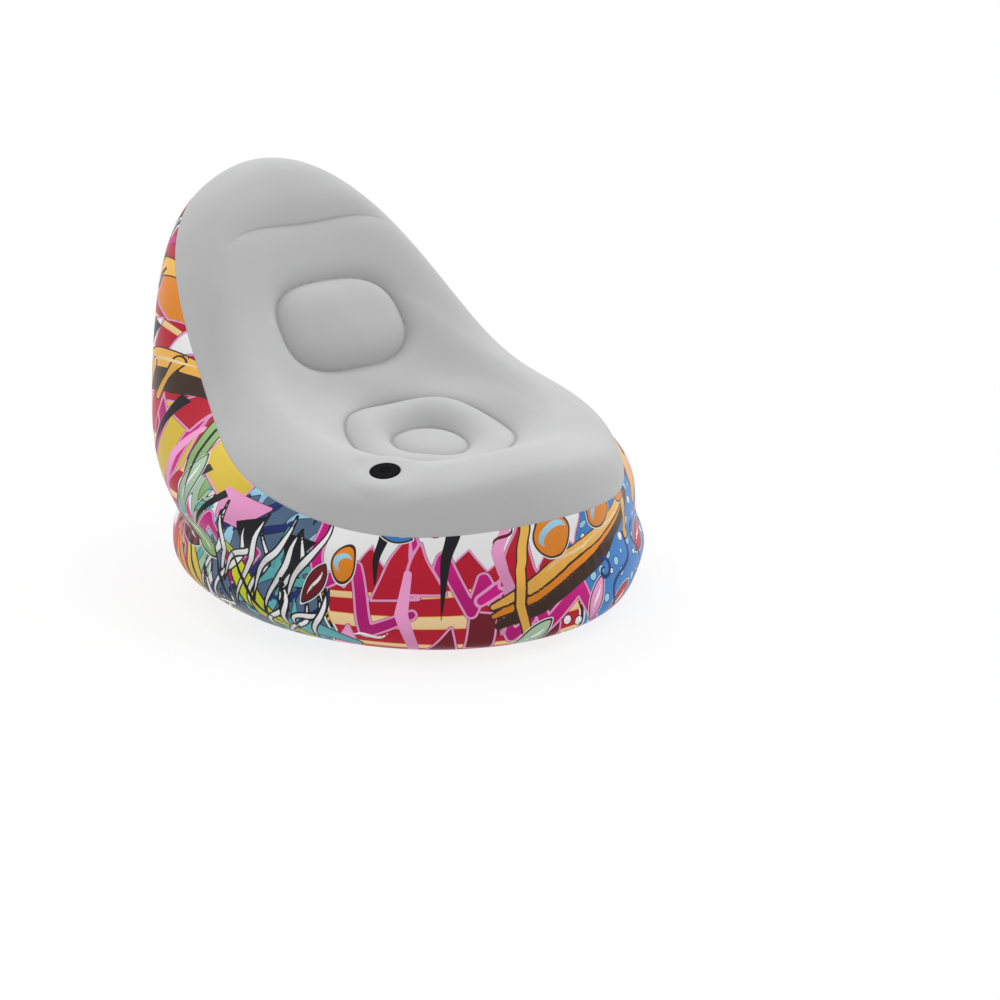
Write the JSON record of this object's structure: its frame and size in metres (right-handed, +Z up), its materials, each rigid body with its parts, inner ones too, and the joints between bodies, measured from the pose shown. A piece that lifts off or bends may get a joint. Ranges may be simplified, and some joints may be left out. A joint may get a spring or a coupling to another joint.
{
  "type": "inflatable lounge chair",
  "caption": "Low inflatable lounge chair with a flocked bucket seat and back, a printed vinyl wall, a base ring and a flush screw air valve in the front rim.",
  "frame": {"origin": "on the floor, under the middle of the chair's overall box", "axes": "+Z up, the sitter faces -Y, +X towards the sitter's left"},
  "size_m": [1.0012, 1.217, 0.831],
  "materials": {
    "flock": "flocked",
    "printed_vinyl": "printed, satin",
    "floor_vinyl": "matt",
    "web_vinyl": "plain film",
    "valve_plastic": "satin moulded",
    "insert_plastic": "satin moulded",
    "valve_rubber": "soft"
  },
  "bodies": {
    "root": {"flocked_top_sheet": "flock", "printed_wall_sheet": "printed_vinyl", "floor_sheet": "floor_vinyl", "waist_web": "web_vinyl", "seat_ring_curtain": "web_vinyl", "seat_button_curtain": "web_vinyl", "lumbar_curtain": "web_vinyl", "headrest_web": "web_vinyl", "valve_housing": "valve_plastic"},
    "seal": {"valve_seal": "valve_rubber"},
    "insert": {"valve_insert": "insert_plastic"},
    "flap": {"valve_flap": "valve_rubber"},
    "gasket": {"valve_cap_gasket": "valve_rubber"},
    "cap": {"valve_cap": "valve_plastic"}
  },
  "joints": [
    {"name": "insert_lift", "type": "slide", "parent": "root", "child": "seal", "axis": [-0.1771, -0.1531, 0.9722], "range_m": [0, 0.0121]},
    {"name": "insert_turn", "type": "hinge", "parent": "seal", "child": "insert", "pos_m": [-0.24315, -0.35819, 0.35476], "axis": [-0.1771, -0.1531, 0.9722], "range_deg": [0, 1080]},
    {"name": "flap_travel", "type": "slide", "parent": "insert", "child": "flap", "axis": [-0.1771, -0.1531, 0.9722], "range_m": [-0.003, 0], "stiffness_N_per_m": 200, "springref_m": 0.0005},
    {"name": "cap_lift", "type": "slide", "parent": "insert", "child": "gasket", "axis": [-0.1771, -0.1531, 0.9722], "range_m": [0, 0.0061]},
    {"name": "cap_turn", "type": "hinge", "parent": "gasket", "child": "cap", "pos_m": [-0.24315, -0.35819, 0.35476], "axis": [-0.1771, -0.1531, 0.9722], "range_deg": [0, 720]}
  ],
  "couplings": [
    {"joint": "insert_lift", "follows": "insert_turn", "m_per_rad": 0.0006366},
    {"joint": "cap_lift", "follows": "cap_turn", "m_per_rad": 0.0004774}
  ]
}
